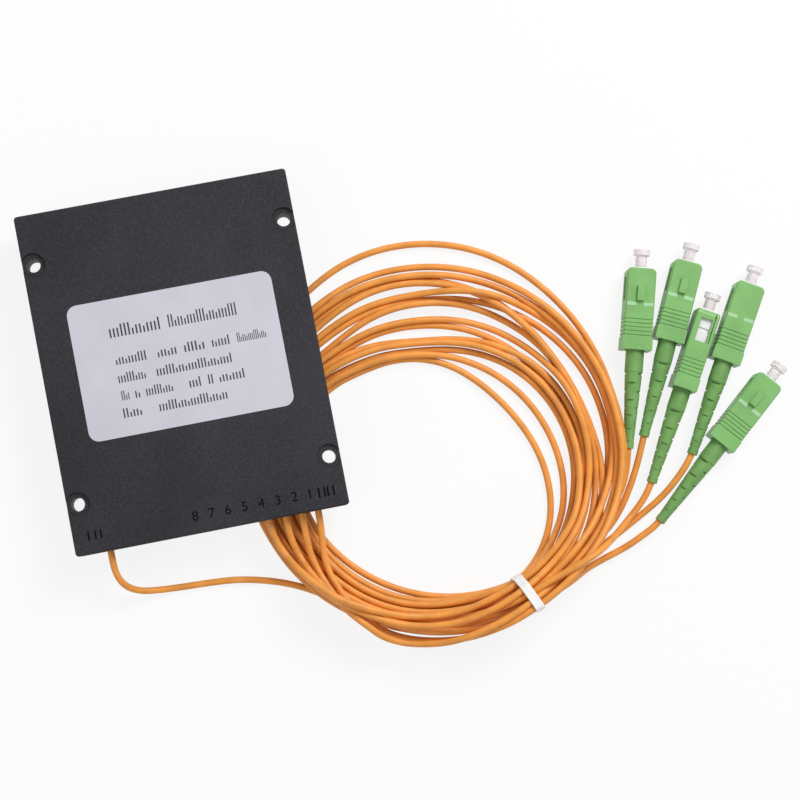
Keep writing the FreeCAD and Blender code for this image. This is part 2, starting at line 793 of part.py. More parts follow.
def rounded_path(points):
    """Straight runs joined by tangent arcs, with the radius of each arc."""
    edges = []
    radii = []
    start = points[0]
    for before, corner, after in zip(points, points[1:], points[2:]):
        back = before - corner
        ahead = after - corner
        reach = RUN_SHARE * min(back.Length, ahead.Length)
        half_turn = (math.pi - back.getAngle(ahead)) / 2
        radius = reach / math.tan(half_turn)
        back.normalize()
        ahead.normalize()
        inward = back + ahead
        inward.normalize()
        first = corner + back * reach
        last = corner + ahead * reach
        middle = corner + inward * (radius / math.cos(half_turn) - radius)
        edges.append(Part.LineSegment(start, first).toShape())
        edges.append(Part.Arc(first, middle, last).toShape())
        radii.append(radius)
        start = last
    edges.append(Part.LineSegment(start, points[-1]).toShape())
    return Part.Wire(edges), radii


def sweep_round(path, radius):
    """A round solid along a wire, checked against its section times its length."""
    start = path.Edges[0]
    profile = Part.Wire(Part.Circle(start.valueAt(start.FirstParameter),
                                    start.tangentAt(start.FirstParameter), radius).toShape())
    solid = path.makePipeShell([profile], True, False)
    expected = math.pi * radius ** 2 * path.Length
    if abs(solid.Volume / expected - 1) > 0.01:
        raise RuntimeError("a swept tube has the wrong volume")
    return solid


def add_feature(label, shape, placement=FreeCAD.Placement()):
    """A sub-part whose shape is worked out here and then put in its place."""
    feature = doc.addObject("Part::Feature", label)
    feature.Label = label
    feature.Shape = shape
    feature.Placement = placement
    return feature


def make_cord(label, points):
    """The solid of one stretch of cord; prints the smallest arc along it."""
    path, radii = rounded_path(points)
    print(f"{label}: {path.Length:.1f} mm long, arc radii",
          " ".join(f"{radius:.0f}" for radius in radii))
    return add_feature(label, sweep_round(path, number(cord_radius)))


# Where each lead goes once it has left its port; the last number of each point is its
# height above the table. The outputs come down on top of the coil and then into its side;
# the input comes down to the table and runs under the coil's edge.
leads = {
    "lead_out_1": [(30.5, -57.0, 8.45), (29.9, -62.7, 7.05), (30.5, -68.6, 7.0),
                   (32.7, -74.7, 7.0), (36.1, -80.6, 6.55), (40.2, -86.0, 4.35)],
    "lead_out_2": [(25.8, -57.0, 8.35), (26.3, -63.0, 7.0), (28.0, -69.2, 7.0),
                   (30.6, -75.2, 7.0), (34.0, -80.8, 6.45), (38.4, -85.6, 4.35)],
    "lead_out_3": [(21.5, -57.0, 8.25), (23.0, -62.5, 6.65), (25.2, -67.8, 4.35)],
    "lead_out_4": [(17.1, -56.7, 8.25), (19.6, -62.1, 6.55), (22.8, -67.2, 4.35)],
    "lead_in": [(-30.3, -56.8, 8.75), (-28.6, -60.8, 5.55), (-24.8, -63.2, 2.55),
                (-18.8, -64.0, 1.05), (-11.8, -64.4, 1.0), (-4.0, -64.7, 1.0),
                (3.6, -65.3, 1.0), (10.8, -66.9, 1.0), (17.2, -69.0, 1.0),
                (23.0, -71.6, 1.0)],
}
inside_sleeve = 0.2  # how far each lead starts past the rib
past_port = 1.4


def lead_points(label, port_x):
    """From inside the anchor sleeve, out through the port and along the list above."""
    inside = Vector(number(port_x), number(rib_y + rib_thickness) + inside_sleeve, 0)
    outside = Vector(number(port_x), -number(box_length) / 2 - past_port, 0)
    return [inside, outside] + above_table(leads[label])


def above_table(points):
    """Points whose heights are counted from the table."""
    return [Vector(x, y, number(table) + height) for x, y, height in points]


# Where each tail comes down from its boot into the coil's edge, in the same way
tails = {
    "tail_1": [(123.1, -56.75, 2.5), (120.6, -61.7, 1.5), (116.7, -67.2, 1.4)],
    "tail_2": [(127.8, -52.9, 2.8), (124.6, -59.3, 1.9), (119.9, -66.6, 1.5)],
    "tail_3": [(125.7, -66.2, 3.6), (120.6, -70.6, 2.8), (114.2, -74.5, 2.4)],
    "tail_4": [(138.3, -60.7, 3.3), (132.3, -65.8, 1.7), (123.6, -70.6, 1.1)],
    "tail_5": [(124.6, -75.6, 2.7), (118.6, -78.3, 2.0), (111.2, -80.4, 2.0)],
}
inside_boot = 4.0  # how far each tail starts inside its boot's end
past_boot = 1.2


def tail_points(label, plug):
    """From inside the boot's end, out along the plug's axis and into the coil."""
    placement = plug_placement(plug)
    start = placement.multVec(Vector(number(boot_rear) + inside_boot, 0, 0))
    leave = placement.multVec(Vector(number(boot_rear) - past_boot, 0, 0))
    return [start, leave] + above_table(tails[label])


def s_bend(start, end):
    """Two equal arcs between two points that are both left and reached along -Y."""
    across = end.x - start.x
    down = start.y - end.y
    radius = (across ** 2 + down ** 2) / (4 * across)
    middle = (start + end) * 0.5
    turn = 2 * math.atan2(across, down)
    bow_x = radius * (1 - math.cos(turn / 2))
    bow_y = radius * math.sin(turn / 2)
    first = Part.Arc(start, start + Vector(bow_x, -bow_y, 0), middle)
    second = Part.Arc(middle, end - Vector(bow_x, -bow_y, 0), end)
    return Part.Wire([first.toShape(), second.toShape()])


def make_inner_fibres():
    """One fibre from the input sleeve over to the module, four from it to the outputs."""
    lead = number(fibre_lead)
    x = number(module_x)
    low = number(module_y - module_length / 2)
    high = number(module_y + module_length / 2)
    port_y = number(rib_y + rib_thickness) + lead
    solids = []
    for index in range(output_count):
        offset = number(fibre_pitch) * ((output_count - 1) / 2 - index)
        start = Vector(x + offset, low, 0)
        end = Vector(number(output_x(index)), port_y, 0)
        solids.append(sweep_round(s_bend(start, end), number(fibre_radius)))
    left = Vector(number(input_port_x), port_y, 0)
    left_top = Vector(left.x, high + lead, 0)
    right_top = Vector(x, high + lead, 0)
    radius = (right_top.x - left_top.x) / 2
    crown = (left_top + right_top) * 0.5 + Vector(0, radius, 0)
    path = Part.Wire([Part.LineSegment(left, left_top).toShape(),
                      Part.Arc(left_top, crown, right_top).toShape(),
                      Part.LineSegment(right_top, Vector(x, high, 0)).toShape()])
    solids.append(sweep_round(path, number(fibre_radius)))
    return add_feature("inner_fibres", Part.makeCompound(solids))


# The coil's outer and inner edges, counter-clockwise from the tie
coil_outer = [(96.6, -85.3), (107.4, -78.6), (117.8, -65.8), (123.4, -48.0), (122.4, -27.4),
              (115.4, -7.0), (101.6, 10.4), (81.6, 21.4), (60.6, 22.8), (40.4, 14.4),
              (24.0, -5.0), (14.4, -26.0), (12.2, -43.0), (18.0, -61.6), (29.4, -77.6),
              (43.5, -89.7), (60.5, -95.6), (76.0, -94.4)]
coil_inner = [(88.8, -78.6), (94.6, -72.0), (98.6, -60.0), (96.2, -41.0), (88.8, -28.2),
              (76.4, -16.4), (60.8, -10.6), (46.6, -12.6), (34.0, -22.6), (27.2, -38.0),
              (29.6, -56.0), (39.4, -70.2), (54.0, -79.0), (71.0, -81.9)]


def tie_frame():
    """The tie's place: X along the bundle and Y across it, towards the coil's middle."""
    turn = FreeCAD.Rotation(Vector(0, 0, 1), number(tie_heading))
    return FreeCAD.Placement(Vector(number(tie_x), number(tie_y), number(table)), turn)


def closed_curve(points):
    """A smooth closed wire through points at the table's height."""
    curve = Part.BSplineCurve()
    spots = [Vector(x, y, number(table)) for x, y in points]
    curve.interpolate(Points=spots, PeriodicFlag=True)
    return Part.Wire(curve.toShape())


def make_coil():
    """The outer shape of all the turns: flat where they fan out, swollen at the tie."""
    frame = tie_frame()
    half = number(bundle_width) / 2
    outer_edge = frame.multVec(Vector(0, -half, 0))
    inner_edge = frame.multVec(Vector(0, half, 0))
    outer = Part.Face(closed_curve([(outer_edge.x, outer_edge.y)] + coil_outer))
    inner = Part.Face(closed_curve([(inner_edge.x, inner_edge.y)] + coil_inner))
    low = number(coil_layers * cord_radius * 2)
    high = number(tie_thickness + bundle_height)
    flat = outer.extrude(Vector(0, 0, low)).cut(inner.extrude(Vector(0, 0, low)))
    tall = outer.extrude(Vector(0, 0, high)).cut(inner.extrude(Vector(0, 0, high)))
    across = number(swell_across)
    top = number(swell_top)
    corners = [Vector(-number(swell_behind), -across, low), Vector(-top, -across, high),
               Vector(top, -across, high), Vector(number(swell_ahead), -across, low)]
    swell = Part.Face(Part.makePolygon(corners + corners[:1])).extrude(Vector(0, across * 2, 0))
    swell.Placement = frame
    coil = flat.fuse(tall.common(swell)).removeSplitter()
    band = tie_shape()
    band.Placement = frame
    return add_feature("cable_coil", coil.cut(band))


def tie_shape():
    """A flat band round the whole bundle, with the middle of its foot at the origin."""
    length = number(tie_width)
    across = number(bundle_width)
    height = number(bundle_height)
    wall = number(tie_thickness)
    outside = Part.makeBox(length, across + wall * 2, height + wall * 2,
                           Vector(-length / 2, -across / 2 - wall, 0))
    hollow = Part.makeBox(length * 2, across, height, Vector(-length, -across / 2, wall))
    return outside.cut(hollow)


# ---------------------------------------------------------------- build and write

def check(parts):
    """Stop if any object failed or any sub-part is empty or not valid."""
    for item in doc.Objects:
        if "Invalid" in item.State or "Error" in item.State:
            raise RuntimeError(f"{item.Label} failed: {item.State}")
    for part in parts:
        if part.Shape.isNull() or not part.Shape.isValid() or not part.Shape.Solids:
            raise RuntimeError(f"{part.Label} has no valid solid")


def main():
    """Build every sub-part and write each to a file of its own."""
    doc.recompute()
    parts = [make_base(), make_cover(), make_label(), make_module(), make_sleeves(),
             make_inner_fibres()]
    for index, plug in enumerate(plugs, 1):
        parts += make_plug(index, plug)
        parts.append(make_cord(f"tail_{index}", tail_points(f"tail_{index}", plug)))
    for index in range(output_count):
        label = f"lead_out_{index + 1}"
        parts.append(make_cord(label, lead_points(label, output_x(index))))
    parts.append(make_cord("lead_in", lead_points("lead_in", input_port_x)))
    parts.append(make_coil())
    parts.append(add_feature("tie_band", tie_shape(), tie_frame()))
    doc.recompute()
    check(parts)
    os.makedirs("parts", exist_ok=True)
    for part in parts:
        part.Shape.exportStep(f"parts/{part.Label}.step")
    print(len(parts), "sub-parts written")


main()
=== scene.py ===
import math

import bpy
import numpy as np
from mathutils import Matrix, Vector


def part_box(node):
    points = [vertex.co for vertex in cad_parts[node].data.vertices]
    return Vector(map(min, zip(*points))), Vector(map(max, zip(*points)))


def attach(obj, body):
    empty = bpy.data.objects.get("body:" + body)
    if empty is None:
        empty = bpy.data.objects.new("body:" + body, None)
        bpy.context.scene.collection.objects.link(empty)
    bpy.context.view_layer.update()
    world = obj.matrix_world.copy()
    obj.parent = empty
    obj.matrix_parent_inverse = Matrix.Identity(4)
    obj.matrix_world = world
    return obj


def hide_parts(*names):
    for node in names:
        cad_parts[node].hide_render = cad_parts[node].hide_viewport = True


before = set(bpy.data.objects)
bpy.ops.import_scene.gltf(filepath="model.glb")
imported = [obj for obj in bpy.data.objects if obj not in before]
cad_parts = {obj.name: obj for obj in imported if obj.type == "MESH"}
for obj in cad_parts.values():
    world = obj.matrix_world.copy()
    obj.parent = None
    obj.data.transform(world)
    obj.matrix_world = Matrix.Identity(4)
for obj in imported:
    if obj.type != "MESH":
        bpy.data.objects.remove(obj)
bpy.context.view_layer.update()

bl_info = {
    "name": "Fibre splitter",
    "version": (1, 0, 0),
    "blender": (4, 5, 0),
    "location": "View3D > Sidebar > Splitter",
    "description": "Dresses a fibre splitter box, its coiled cords and its push-pull plugs",
    "category": "Object",
}

MM = 0.001
CORD_NAMES = ("out_4", "out_3", "in", "out_2", "out_1")  # by place at the tie, from the inside
PLUG_OF = {"out_4": 1, "out_3": 2, "in": 3, "out_2": 4, "out_1": 5}
TURNS = 3
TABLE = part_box("cable_coil")[0].z
BOX_LOW, BOX_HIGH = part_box("base_shell")[0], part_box("top_cover")[1]
LABEL_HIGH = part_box("label")[1]
# Each plug: its front on the table, its heading in degrees and its axis above the table
PLUGS = {1: (0.1396, 0.0026, 74.5, 0.0037), 2: (0.1539, 0.0019, 64.3, 0.0037),
         3: (0.1567, -0.0139, 60.2, 0.0045), 4: (0.1710, -0.0083, 59.4, 0.00445),
         5: (0.1711, -0.0374, 40.6, 0.0037)}


# ---------------------------------------------------------------- sizes and colours to change

def colour(name, description, default):
    """A colour that a user can change."""
    return bpy.props.FloatVectorProperty(name=name, description=description, default=default,
                                         subtype="COLOR", size=3, min=0.0, max=1.0)


class SplitterSizes(bpy.types.PropertyGroup):
    cord_diameter: bpy.props.FloatProperty(
        name="Cord diameter", description="Outside of the cords' jacket",
        default=2.0 * MM, min=1.6 * MM, max=3.0 * MM, unit="LENGTH")
    column_pitch: bpy.props.FloatProperty(
        name="Column pitch", description="From one cord to the next inside the tie",
        default=2.04 * MM, min=2.0 * MM, max=3.0 * MM, unit="LENGTH")
    print_height: bpy.props.FloatProperty(
        name="Print height", description="How far printed marks stand off their surface",
        default=0.02 * MM, min=0.005 * MM, max=0.1 * MM, unit="LENGTH")
    grain_size: bpy.props.FloatProperty(
        name="Grain size", description="Size of the pebbles in the box's moulded grain",
        default=0.55 * MM, min=0.1 * MM, max=1.0 * MM, unit="LENGTH")
    tie_width: bpy.props.FloatProperty(
        name="Tie width", description="Width of the band round the bundle",
        default=2.8 * MM, min=1.5 * MM, max=5.0 * MM, unit="LENGTH")


class SplitterColours(bpy.types.PropertyGroup):
    box: colour("Box", "Charcoal of the moulded box", (0.0245, 0.0230, 0.0295))
    label: colour("Label", "Silver of the label's film", (0.600, 0.595, 0.665))
    ink: colour("Ink", "Print on the label", (0.045, 0.045, 0.055))
    marks: colour("Marks", "Raised marks on the box beside the ports", (0.0015, 0.0015, 0.002))
    stripe: colour("Stripe", "Print on top of the plugs' housings", (0.390, 0.650, 0.370))
    cord: colour("Cord", "Orange of the cords' jacket", (0.830, 0.330, 0.062))
    housing: colour("Housing", "Green of the plugs' housings", (0.205, 0.455, 0.138))
    boot: colour("Boot", "Green of the plugs' boots", (0.160, 0.350, 0.095))
    cap: colour("Cap", "Tint of the clear dust caps", (0.985, 0.925, 0.935))
    tie: colour("Tie", "Nylon of the tie", (0.930, 0.930, 0.925))


def sizes():
    """The sizes set for this scene."""
    return bpy.context.scene.splitter_sizes


def colours():
    """The colours set for this scene."""
    return bpy.context.scene.splitter_colours


# ---------------------------------------------------------------- shader helpers

class Tree:
    """A node tree with short calls to add a node and to join two sockets."""

    def __init__(self, node_tree):
        self.tree = node_tree

    def add(self, kind, inputs=None, **settings):
        """A node with its settings; each input is set to a value or joined to a socket."""
        node = self.tree.nodes.new(kind)
        for name, value in settings.items():
            setattr(node, name, value)
        for name, value in (inputs or {}).items():
            self.put(node, name, value)
        return node

    def put(self, node, name, value):
        """Set one input, or join it to the socket given."""
        if isinstance(value, bpy.types.NodeSocket):
            self.tree.links.new(value, node.inputs[name])
        else:
            node.inputs[name].default_value = value

    def maths(self, operation, first, second=0.0, third=0.0):
        """One Math node's output."""
        return self.add("ShaderNodeMath", {0: first, 1: second, 2: third},
                        operation=operation).outputs[0]

    def ramp(self, value, stops):
        """A smooth colour ramp between two (position, colour) stops."""
        node = self.add("ShaderNodeValToRGB", {"Fac": value})
        node.color_ramp.interpolation = "EASE"
        for element, (position, tone) in zip(node.color_ramp.elements, stops):
            element.position = position
            element.color = (*tone, 1.0)
        return node.outputs["Color"]


def shade(tone, factor):
    """A colour made lighter or darker."""
    return tuple(min(1.0, part * factor) for part in tone)


def group(name, inputs, outputs):
    """An empty node group with named float, vector or colour sockets."""
    made = bpy.data.node_groups.new(name, "ShaderNodeTree")
    for label, kind, default in inputs:
        socket = made.interface.new_socket(label, in_out="INPUT", socket_type=kind)
        if default is not None:
            socket.default_value = default
    for label, kind in outputs:
        made.interface.new_socket(label, in_out="OUTPUT", socket_type=kind)
    tree = Tree(made)
    return made, tree, tree.add("NodeGroupInput"), tree.add("NodeGroupOutput")


# How much finer than the pebbles or the waves the noise on them is, and how much it counts
PEBBLE_FINE, PEBBLE_WIDE, PEBBLE_NOISE = 2.3, 0.02, 0.4
SATIN_FINE, SATIN_NOISE = 22.0, 0.25


def pebble_group():
    """Moulded pebble grain: rounded cells broken up by fine noise, as height and shade."""
    made, tree, given, out = group(
        "PebbleGrain",
        [("Vector", "NodeSocketVector", None), ("Cell Size", "NodeSocketFloat", 0.35 * MM)],
        [("Height", "NodeSocketFloat"), ("Shade", "NodeSocketFloat")])
    scale = tree.maths("DIVIDE", 1.0, given.outputs["Cell Size"])
    cells = tree.add("ShaderNodeTexVoronoi", {"Vector": given.outputs["Vector"], "Scale": scale},
                     feature="SMOOTH_F1")
    fine = tree.add("ShaderNodeTexNoise", {"Vector": given.outputs["Vector"], "Detail": 3.0,
                                           "Scale": tree.maths("MULTIPLY", scale, PEBBLE_FINE)})
    tree.put(out, "Height", tree.maths(
        "MULTIPLY_ADD", fine.outputs["Fac"], PEBBLE_NOISE,
        tree.maths("SUBTRACT", 1.0, cells.outputs["Distance"])))
    wide = tree.add("ShaderNodeTexNoise", {"Vector": given.outputs["Vector"], "Detail": 2.0,
                                           "Scale": tree.maths("MULTIPLY", scale, PEBBLE_WIDE)})
    tree.put(out, "Shade", tree.maths(
        "MULTIPLY_ADD", wide.outputs["Fac"], 0.5,
        tree.maths("MULTIPLY", cells.outputs["Distance"], 0.5)))
    return made


def satin_group():
    """Smooth moulding: slow waves from the mould and a faint polish grain."""
    made, tree, given, out = group(
        "SatinMoulding",
        [("Vector", "NodeSocketVector", None), ("Wave Size", "NodeSocketFloat", 6 * MM)],
        [("Height", "NodeSocketFloat"), ("Shade", "NodeSocketFloat")])
    scale = tree.maths("DIVIDE", 1.0, given.outputs["Wave Size"])
    slow = tree.add("ShaderNodeTexNoise", {"Vector": given.outputs["Vector"], "Detail": 2.0,
                                           "Scale": scale})
    fine = tree.add("ShaderNodeTexNoise", {"Vector": given.outputs["Vector"], "Detail": 4.0,
                                           "Scale": tree.maths("MULTIPLY", scale, SATIN_FINE)})
    tree.put(out, "Height", tree.maths("MULTIPLY_ADD", fine.outputs["Fac"], SATIN_NOISE,
                                       slow.outputs["Fac"]))
    tree.put(out, "Shade", slow.outputs["Fac"])
    return made


GROUP_MAKERS = {"PebbleGrain": pebble_group, "SatinMoulding": satin_group}


def shared(name):
    """The node group of that name, built the first time it is asked for."""
    return bpy.data.node_groups.get(name) or GROUP_MAKERS[name]()


def surface(name, tone, effect, size, bump, rough, contrast=0.12, rounding=0.0, **constants):
    """A Principled material whose colour, roughness and relief vary by one shared effect."""
    made = bpy.data.materials.new(name)
    made.use_nodes = True
    tree = Tree(made.node_tree)
    made.node_tree.nodes.clear()
    place = tree.add("ShaderNodeTexCoord").outputs["Object"]
    shader = tree.add("ShaderNodeBsdfPrincipled")
    out = tree.add("ShaderNodeOutputMaterial", {"Surface": shader.outputs[0]})
    out.is_active_output = True
    effect_node = tree.add("ShaderNodeGroup")
    effect_node.node_tree = shared(effect)
    tree.put(effect_node, "Vector", place)
    effect_node.inputs[1].default_value = size
    level = effect_node.outputs["Shade"]
    tree.put(shader, "Base Color", tree.ramp(
        level, [(0.25, shade(tone, 1 - contrast)), (0.75, shade(tone, 1 + contrast))]))
    low, high = rough
    tree.put(shader, "Roughness", tree.maths("MULTIPLY_ADD", level, high - low, low))
    relief = tree.add("ShaderNodeBump", {"Height": effect_node.outputs["Height"],
                                         "Distance": bump, "Strength": 1.0})
    if rounding:
        edge = tree.add("ShaderNodeBevel", {"Radius": rounding}, samples=4)
        tree.put(relief, "Normal", edge.outputs["Normal"])
    tree.put(shader, "Normal", relief.outputs["Normal"])
    for label, value in constants.items():
        shader.inputs[label.replace("_", " ")].default_value = value
    return made


# ---------------------------------------------------------------- mesh helpers

def mesh_piece(name, points, faces, material, body):
    """A mesh object at the origin that rides on a body and may fill a material slot."""
    data = bpy.data.meshes.new(name)
    data.from_pydata([tuple(point) for point in points.tolist()], [], faces.tolist())
    data.validate()
    data.materials.append(material)
    piece = bpy.data.objects.new(name, data)
    bpy.context.scene.collection.objects.link(piece)
    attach(piece, body)
    return piece


def ring_faces(rows, columns):
    """Quads over a grid of points whose rows and columns both close on themselves."""
    row, column = np.meshgrid(np.arange(rows), np.arange(columns), indexing="ij")
    below, after = (row + 1) % rows, (column + 1) % columns
    return np.stack([row * columns + column, row * columns + after,
                     below * columns + after, below * columns + column], -1).reshape(-1, 4)


def slabs(rectangles, low, high):
    """Thin boxes over a list of (left, front, right, back) rectangles: points and faces."""
    left, front, right, back = np.array(rectangles, float).T
    flat = np.stack([np.stack([left, front], -1), np.stack([right, front], -1),
                     np.stack([right, back], -1), np.stack([left, back], -1)], 1)
    points = np.concatenate([np.insert(flat, 2, low, axis=2), np.insert(flat, 2, high, axis=2)], 1)
    cube = np.array([(3, 2, 1, 0), (4, 5, 6, 7), (0, 1, 5, 4), (1, 2, 6, 5), (2, 3, 7, 6),
                     (3, 0, 4, 7)])
    faces = cube[None] + np.arange(len(rectangles))[:, None, None] * 8
    return points.reshape(-1, 3), faces.reshape(-1, 4)


def dress_node(name, material):
    """Give a CAD node one material all over."""
    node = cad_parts[name]
    node.data.materials.clear()
    node.data.materials.append(material)


# ---------------------------------------------------------------- the cords' routes

# Each cord from its port to the coil, as x, y and height above the table, in metres
LEADS = {
    "out_1": [(0.0308, -0.0429, 0.01115), (0.0308, -0.0514, 0.01115), (0.0305, -0.0570, 0.00845),
              (0.0299, -0.0627, 0.00705), (0.0305, -0.0686, 0.0070), (0.0327, -0.0747, 0.0070),
              (0.0361, -0.0806, 0.00655), (0.0402, -0.0860, 0.00435)],
    "out_2": [(0.02595, -0.0429, 0.01115), (0.02595, -0.0514, 0.01115), (0.0258, -0.0570, 0.00835),
              (0.0263, -0.0630, 0.0070), (0.0280, -0.0692, 0.0070), (0.0306, -0.0752, 0.0070),
              (0.0340, -0.0808, 0.00645), (0.0384, -0.0856, 0.00435)],
    "out_3": [(0.0211, -0.0429, 0.01115), (0.0211, -0.0514, 0.01115), (0.0215, -0.0570, 0.00825),
              (0.0230, -0.0625, 0.00665), (0.0252, -0.0678, 0.00435)],
    "out_4": [(0.01625, -0.0429, 0.01115), (0.01625, -0.0514, 0.01115), (0.0171, -0.0567, 0.00825),
              (0.0196, -0.0621, 0.00655), (0.0228, -0.0672, 0.00435)],
    "in": [(-0.0304, -0.0429, 0.01115), (-0.0304, -0.0514, 0.01115), (-0.0303, -0.0568, 0.00875),
           (-0.0286, -0.0608, 0.00555), (-0.0248, -0.0632, 0.00255), (-0.0188, -0.0640, 0.00105),
           (-0.0118, -0.0644, 0.0010), (-0.0040, -0.0647, 0.0010), (0.0036, -0.0653, 0.0010),
           (0.0108, -0.0669, 0.0010), (0.0172, -0.0690, 0.0010), (0.0230, -0.0716, 0.0010)],
}
# Each cord from the coil's edge to its plug; the last two points lie on the boot's axis
TAILS = {
    "out_4": [(0.1167, -0.0672, 0.0014), (0.1206, -0.0617, 0.0015), (0.1231, -0.05675, 0.0025)],
    "out_3": [(0.1199, -0.0666, 0.0015), (0.1246, -0.0593, 0.0019), (0.1278, -0.0529, 0.0028)],
    "in": [(0.1142, -0.0745, 0.0024), (0.1206, -0.0706, 0.0028), (0.1257, -0.0662, 0.0036)],
    "out_2": [(0.1236, -0.0706, 0.0011), (0.1323, -0.0658, 0.0017), (0.1383, -0.0607, 0.0033)],
    "out_1": [(0.1112, -0.0804, 0.0020), (0.1186, -0.0783, 0.0020), (0.1246, -0.0756, 0.0027)],
}
# The arcs of the leads along the coil's edge before the tie, as angle and radius
LEAD_ARCS = {
    "out_1": [(250.5, 57.7), (259, 58.8), (270, 59.2), (282, 58.6)],
    "out_2": [(247.5, 58.6), (256, 59.7), (268, 59.2), (282, 57.0)],
    "out_3": [(230, 53.0), (242, 53.6), (256, 54.4), (270, 54.2), (282, 52.9)],
    "out_4": [(228, 52.6), (240, 51.8), (255, 51.8), (270, 51.4), (282, 50.2)],
    "in": [(229, 53.2), (241, 53.0), (254, 54.0), (268, 54.6), (282, 54.2)],
}

COIL_MIDDLE = np.array([65.0, -36.0]) * MM
TIE_ANGLE, TIE_RADIUS = 293.25, 53.8 * MM
# The innermost and the outermost cord of the coil: radius in millimetres at each angle
INNER_EDGE = [(0, 30.1), (20, 26.2), (40, 24.6), (60, 24.5), (80, 25.0), (100, 26.0), (120, 27.8),
              (140, 32.0), (160, 35.3), (180, 37.8), (200, 40.0), (220, 41.3), (240, 42.9),
              (260, 45.2), (280, 48.0), (293.25, 49.7), (307, 48.0), (320, 44.1), (340, 36.6)]
OUTER_EDGE = [(0, 59.3), (20, 58.9), (40, 59.2), (60, 60.0), (80, 59.7), (100, 58.5), (120, 56.0),
              (140, 54.9), (160, 53.8), (180, 53.0), (200, 53.0), (220, 54.9), (240, 56.6),
              (260, 57.6), (280, 58.0), (293.25, 57.9), (310, 58.6), (325, 60.2), (340, 60.6)]
# Where the fifteen turns lie between the two edges, at six places round the coil
LOW_RIGHT, RIGHT, TOP, BOX_EDGE, UNDER_BOX, BOTTOM = -37, -14, 90, 126, 195, 252
SPREAD = {
    LOW_RIGHT: [0, .22, .36, .38, .42, .44, .50, .56, .76, .72, .70, .84, .88, .94, 1.0],
    RIGHT: [0, .23, .41, .45, .48, .53, .58, .62, .65, .72, .84, .88, .92, .96, 1.0],
    TOP: [0, .03, .06, .125, .15, .28, .32, .455, .49, .54, .655, .69, .72, .795, 1.0],
    BOX_EDGE: [0, .05, .10, .18, .245, .29, .336, .394, .505, .564, .647, .70, .77, .83, 1.0],
    UNDER_BOX: [0, .10, .20, .20, .30, .40, .40, .50, .60, .60, .70, .80, .80, .90, 1.0],
    BOTTOM: [0, .17, .24, .28, .33, .40, .44, .49, .54, .58, .63, .68, .73, .78, .84],
}
# The rank of each column's turn in that order, for each layer from the table up
RANKS = [(0, 2, 5, 8, 11), (1, 4, 7, 10, 14), (3, 6, 9, 12, 13)]
# Turns that change places between the top and the right
SWAPS = {RIGHT: {8: 10, 9: 11, 10: 8, 11: 9, 4: 5, 5: 4}}

STEP = 10  # degrees from one point of a turn to the next
FINE = 8  # places settled along each step
LAID_AT_ONCE = 24  # places of a stretch that are laid together
OWN_REACH = 5 * FINE  # a cord doesn't rest on its own places nearer than this
PORT_REACH = 3 * FINE  # the first places of a cord, inside and just past its port
BOX_ROOM = 1.1  # from the box down to a cord's middle, in radii of the cord
TIE_LIFT, TIE_REACH = 0.6 * MM, 9 * MM  # the band under the bundle, and how far it lifts it
TIE_THICKNESS, TIE_ROUNDING, TIE_SLACK = 0.5 * MM, 0.12 * MM, 0.05 * MM
TIE_HALF_SPAN = 12 * MM  # cords farther across than this don't pass the tie
TIE_FACETS = 120
TAIL_SHARES = np.array([[0.27], [0.52], [0.77]])  # along the curve from the tie to a tail
INSIDE_BOOT, PAST_BOOT = -50.0 * MM, -55.2 * MM  # from the front of the plug


def between(u, start, leave, end, arrive):
    """A cubic from a start to an end with the slope given at each: Hermite's four weights."""
    return ((2 * u ** 3 - 3 * u ** 2 + 1) * start + (u ** 3 - 2 * u ** 2 + u) * leave
            + (3 * u ** 2 - 2 * u ** 3) * end + (u ** 3 - u ** 2) * arrive)


def smooth_through(keys, at, period=None):
    """A smooth curve through (place, value) keys: cubic pieces whose slope at each key is the
    slope between its neighbours."""
    places, values = np.array(keys, float).T
    if period:
        places = np.concatenate([places - period, places, places + period])
        values = np.tile(values, 3)
    slopes = np.gradient(values, places)
    if not period:
        slopes[0] = slopes[-1] = 0.0
    index = np.clip(np.searchsorted(places, at, "right") - 1, 0, len(places) - 2)
    width = places[index + 1] - places[index]
    return between((at - places[index]) / width, values[index], width * slopes[index],
                   values[index + 1], width * slopes[index + 1])


def ring_point(angle, radius):
    """A place on the table from an angle in degrees and a radius, round the coil's middle."""
    turn = np.radians(angle)
    return COIL_MIDDLE + radius[..., None] * np.stack([np.cos(turn), np.sin(turn)], -1)


def tie_place():
    """The middle of the bundle inside the tie."""
    return ring_point(np.array([TIE_ANGLE]), np.array([TIE_RADIUS]))[0]


def column_radius(column):
    """The radius of one column of cords inside the tie."""
    return TIE_RADIUS + (column - 2) * sizes().column_pitch


def turn_points(column, layer):
    """One turn from tie to tie: the share of the way from the inner edge to the outer one goes
    smoothly through its places, and each point stands out a little so that the line that
    rounds the corners keeps its radius."""
    rank = RANKS[layer][column]
    keys = []
    for place, spread in SPREAD.items():
        keys.append((place, spread[SWAPS.get(place, {}).get(rank, rank)]))
    start = TIE_ANGLE - 360
    angles = np.linspace(start, TIE_ANGLE, round(360 / STEP) + 1)
    inner = smooth_through(INNER_EDGE, angles % 360, 360) * MM
    outer = smooth_through(OUTER_EDGE, angles % 360, 360) * MM
    tie_share = (column_radius(column) - inner[0]) / (outer[0] - inner[0])
    share = smooth_through([(start, tie_share), *sorted(keys), (TIE_ANGLE, tie_share)], angles)
    radius = inner + share * (outer - inner)
    return ring_point(angles, radius / np.cos(np.radians(STEP / 2)))


def lead_points(cord):
    """The cord from its port along the edge of the coil to the tie."""
    listed = np.array(LEADS[cord])
    angles, radii = np.array(LEAD_ARCS[cord], float).T
    arc = ring_point(angles, radii * MM)
    return np.vstack([listed[:, :2], arc]), np.append(listed[:, 2], np.zeros(len(arc)))


